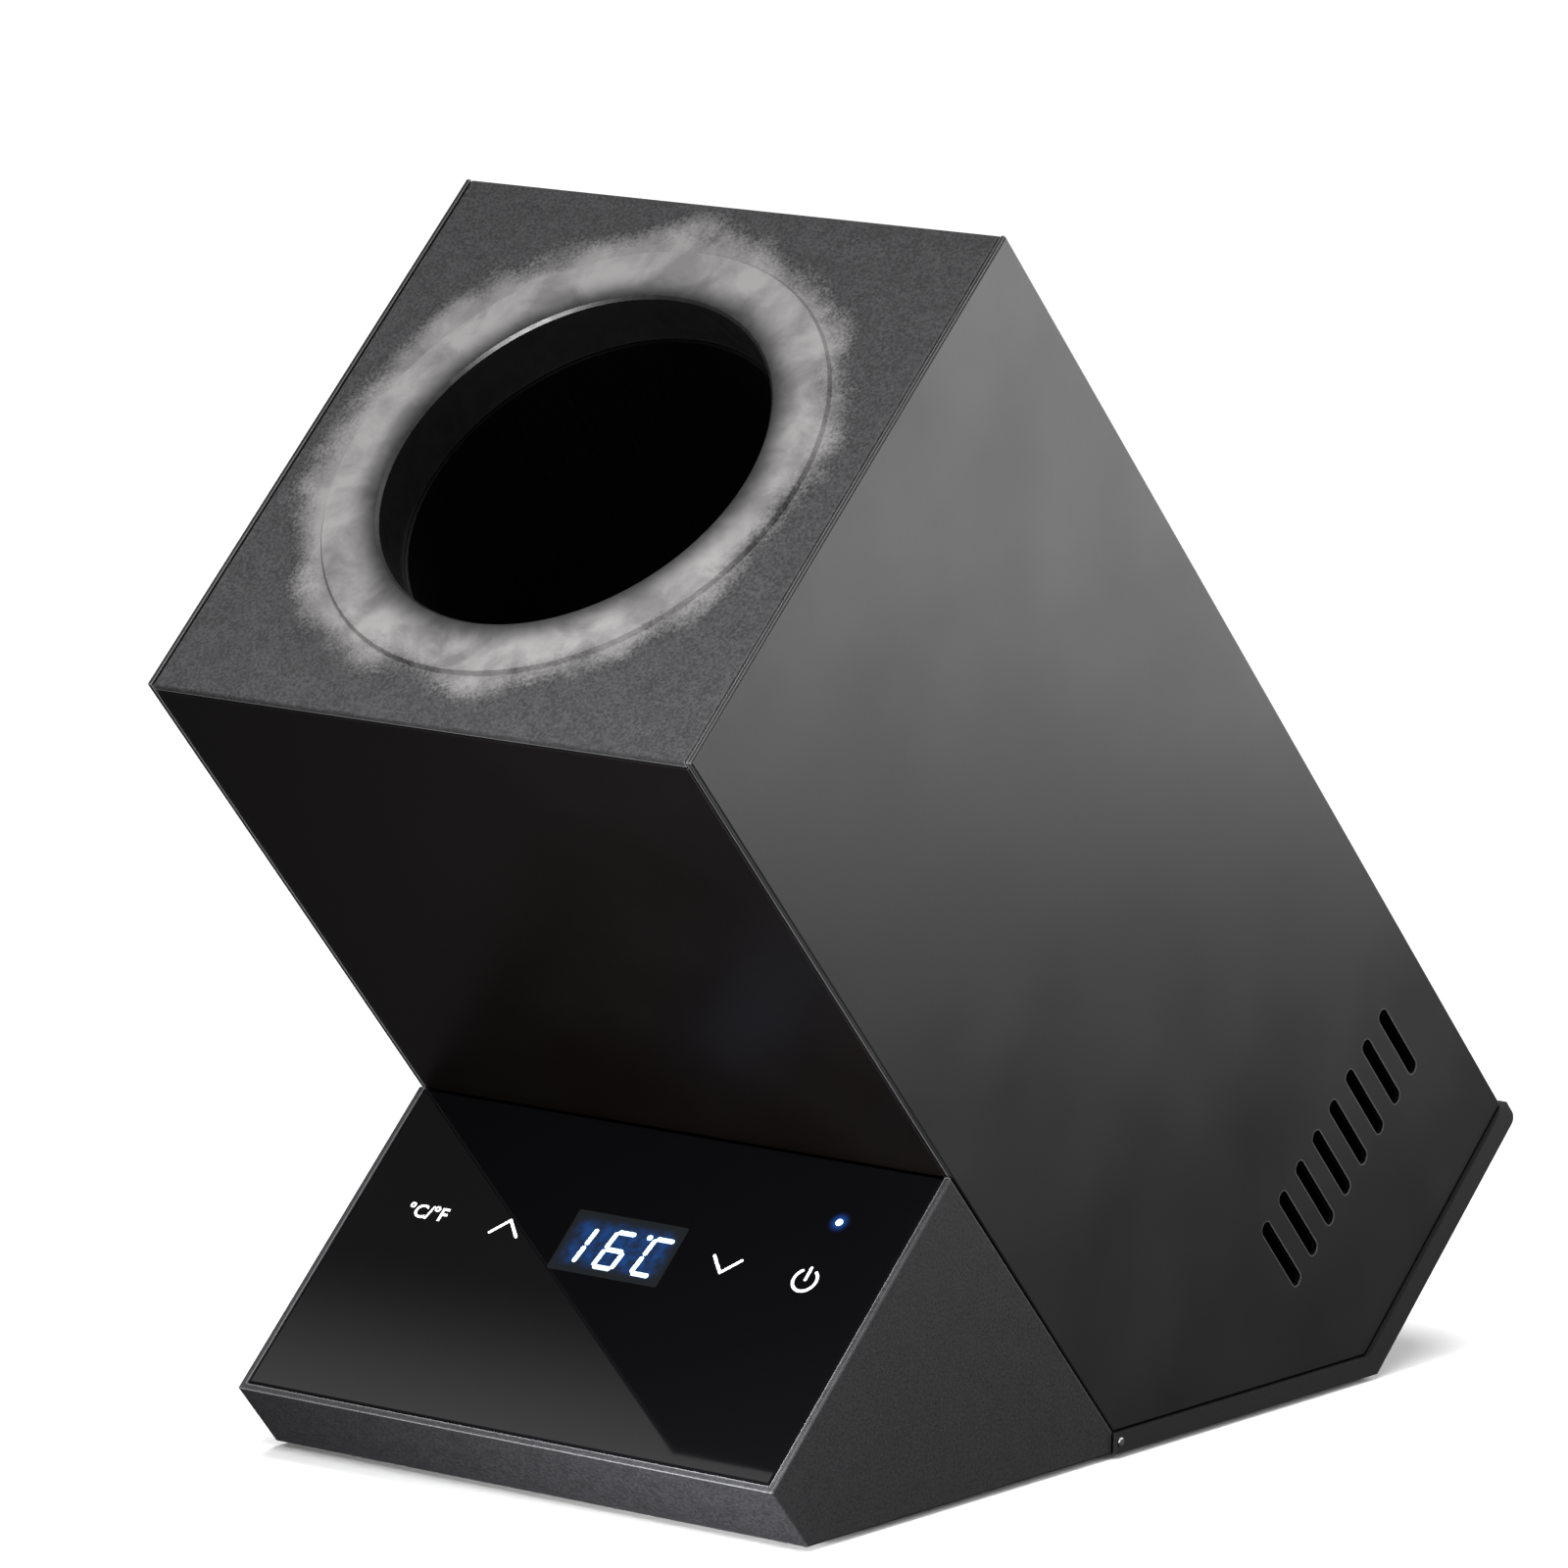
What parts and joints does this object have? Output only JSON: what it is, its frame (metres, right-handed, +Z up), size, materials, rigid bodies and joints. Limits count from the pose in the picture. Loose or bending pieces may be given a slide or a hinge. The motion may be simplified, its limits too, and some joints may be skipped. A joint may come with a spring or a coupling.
{
  "type": "wine cooler",
  "caption": "Countertop wine cooler: a leaning square case with a round bottle well, on a wedge base with a glass touch panel; its cooling fan spins.",
  "frame": {"origin": "middle of the bounding box, on the surface the feet stand on", "axes": "+Z up; the control panel and the leaning top face -Y; +X to the right seen from the front"},
  "size_m": [0.1428, 0.3014, 0.2631],
  "materials": {
    "right_side_panel": "satin powder coat, dark grey",
    "left_side_panel": "satin powder coat, dark grey",
    "top_plate": "fine textured powder coat",
    "front_panel": "satin powder coat",
    "back_panel": "satin powder coat, dark grey",
    "back_screws": "zinc plated",
    "base_tray": "matte",
    "side_screws": "zinc plated",
    "control_housing": "fine textured powder coat",
    "housing_screws": "zinc plated",
    "control_glass": "polished, black behind",
    "touch_board": "solder mask",
    "touch_pads": "conductive foam",
    "display_module": "lit blue-white behind a diffuser",
    "status_led": "lit blue-white",
    "rim_ring": "gloss",
    "bottle_liner": "black anodised",
    "bottle_pad": "matte",
    "insulation_right": "closed-cell foam",
    "insulation_left": "closed-cell foam",
    "divider": "matte",
    "temperature_sensor": "moulded",
    "cold_block": "plain",
    "peltier_module": "ceramic",
    "peltier_gasket": "conductive foam",
    "heat_sink": "black anodised",
    "clamp_screws": "zinc plated",
    "fan_frame": "matte",
    "fan_bush": "sintered",
    "fan_stator": "iron core with copper windings",
    "fan_rotor": "matte",
    "fan_shaft": "zinc plated",
    "fan_screws": "zinc plated",
    "dc_jack": "matte",
    "dc_jack_nut": "nickel plated",
    "cable_grommet": "matte",
    "peltier_lead": "matte",
    "fan_lead": "matte",
    "inlet_lead": "matte",
    "sensor_lead": "matte",
    "display_ribbon": "ribbed",
    "feet": "matte",
    "control_board": "solder mask",
    "board_screws": "zinc plated",
    "board_parts": "moulded"
  },
  "bodies": {
    "cabinet": {"right_side_panel": "right_side_panel", "left_side_panel": "left_side_panel", "top_plate": "top_plate", "front_panel": "front_panel", "back_panel": "back_panel", "back_screws": "back_screws", "base_tray": "base_tray", "side_screws": "side_screws", "control_housing": "control_housing", "housing_screws": "housing_screws", "control_glass": "control_glass", "touch_board": "touch_board", "touch_pads": "touch_pads", "display_module": "display_module", "status_led": "status_led", "rim_ring": "rim_ring", "bottle_liner": "bottle_liner", "bottle_pad": "bottle_pad", "insulation_right": "insulation_right", "insulation_left": "insulation_left", "divider": "divider", "temperature_sensor": "temperature_sensor", "cold_block": "cold_block", "peltier_module": "peltier_module", "peltier_gasket": "peltier_gasket", "heat_sink": "heat_sink", "clamp_screws": "clamp_screws", "fan_frame": "fan_frame", "fan_bush": "fan_bush", "fan_stator": "fan_stator", "fan_screws": "fan_screws", "dc_jack": "dc_jack", "dc_jack_nut": "dc_jack_nut", "cable_grommet": "cable_grommet", "peltier_lead": "peltier_lead", "fan_lead": "fan_lead", "inlet_lead": "inlet_lead", "sensor_lead": "sensor_lead", "display_ribbon": "display_ribbon", "feet": "feet", "control_board": "control_board", "board_screws": "board_screws", "board_parts": "board_parts"},
    "fan": {"fan_rotor": "fan_rotor", "fan_shaft": "fan_shaft"}
  },
  "joints": [
    {"name": "fan_spin", "type": "hinge", "parent": "cabinet", "child": "fan", "pos_m": [0, 0.0958, 0.03817], "axis": [0, -0.682, 0.7314], "continuous": true}
  ]
}
